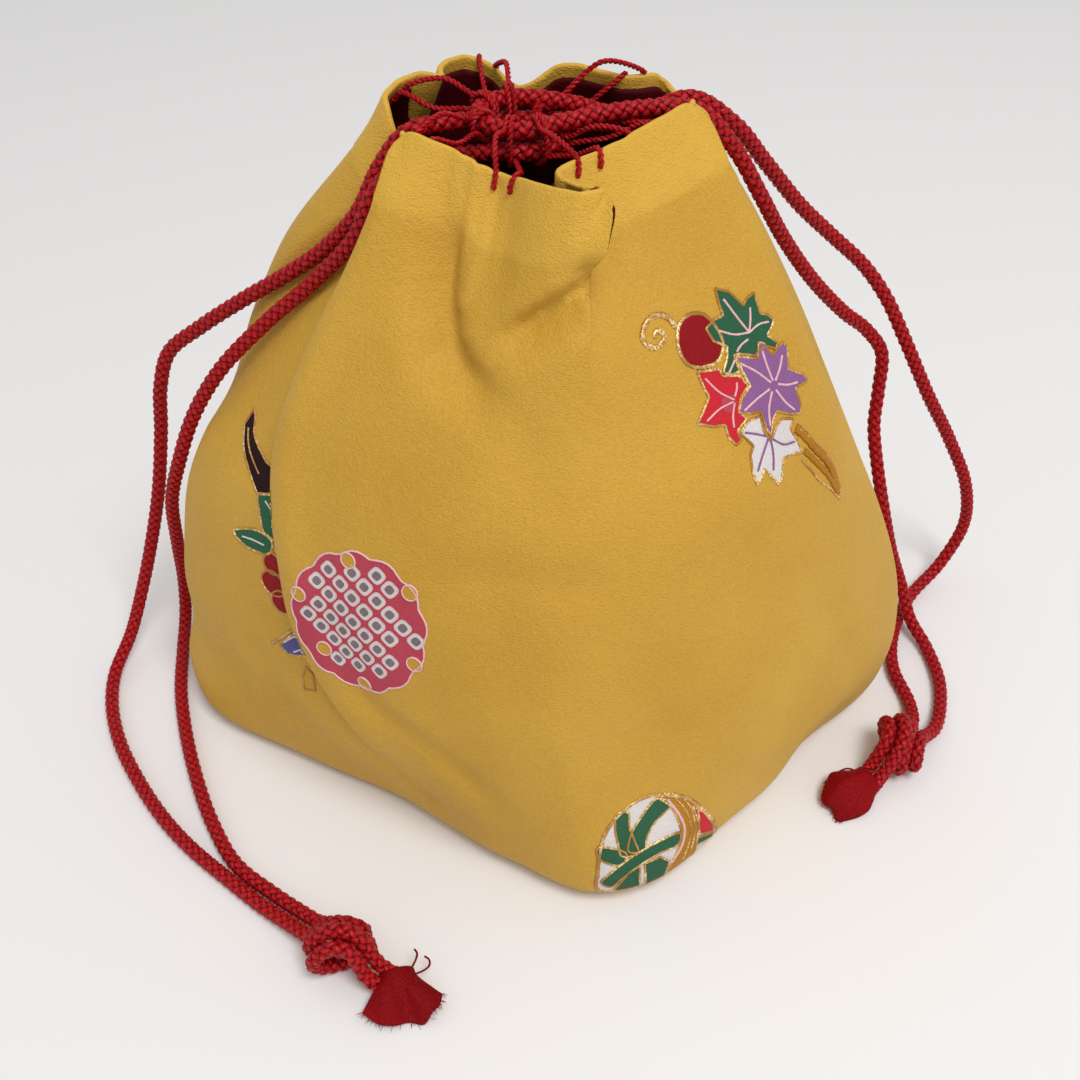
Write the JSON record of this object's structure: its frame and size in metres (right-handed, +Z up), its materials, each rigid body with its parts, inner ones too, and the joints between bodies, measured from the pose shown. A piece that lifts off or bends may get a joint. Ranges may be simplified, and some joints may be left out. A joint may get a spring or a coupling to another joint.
{
  "type": "drawstring pouch",
  "caption": "Standing crepe cloth pouch with a four-cornered soft base, dark red lining and braided drawcords tied in knots at either side of its gathered mouth.",
  "frame": {"origin": "on the surface the pouch stands on, under the middle of the bag without its cords", "axes": "+Z up through the mouth, +X to the right of the front, -Y towards the front corner of the base"},
  "size_m": [0.2918, 0.2105, 0.196],
  "materials": {
    "golden_crepe": "golden mustard silk crepe, fine pebbled grain, soft sheen, dyed with small outlined motifs",
    "dark_red_lining": "plain deep red lining cloth",
    "red_braid": "round braided silk cord, bright red with a slight lustre",
    "red_thread": "thick twisted sewing thread",
    "red_crepe": "scrap of red crepe, crumpled and bound, with a few frayed threads"
  },
  "bodies": {
    "root": {"outer_cloth": "golden_crepe", "lining": "dark_red_lining", "drawcord_left": "red_braid", "drawcord_right": "red_braid", "thread_loop_1": "red_thread", "thread_loop_2": "red_thread", "thread_loop_3": "red_thread", "thread_loop_4": "red_thread", "thread_loop_5": "red_thread", "thread_loop_6": "red_thread", "thread_loop_7": "red_thread", "thread_loop_8": "red_thread", "knot_left": "red_braid", "knot_right": "red_braid", "cloth_tip_left": "red_crepe", "cloth_tip_right": "red_crepe"}
  },
  "joints": []
}
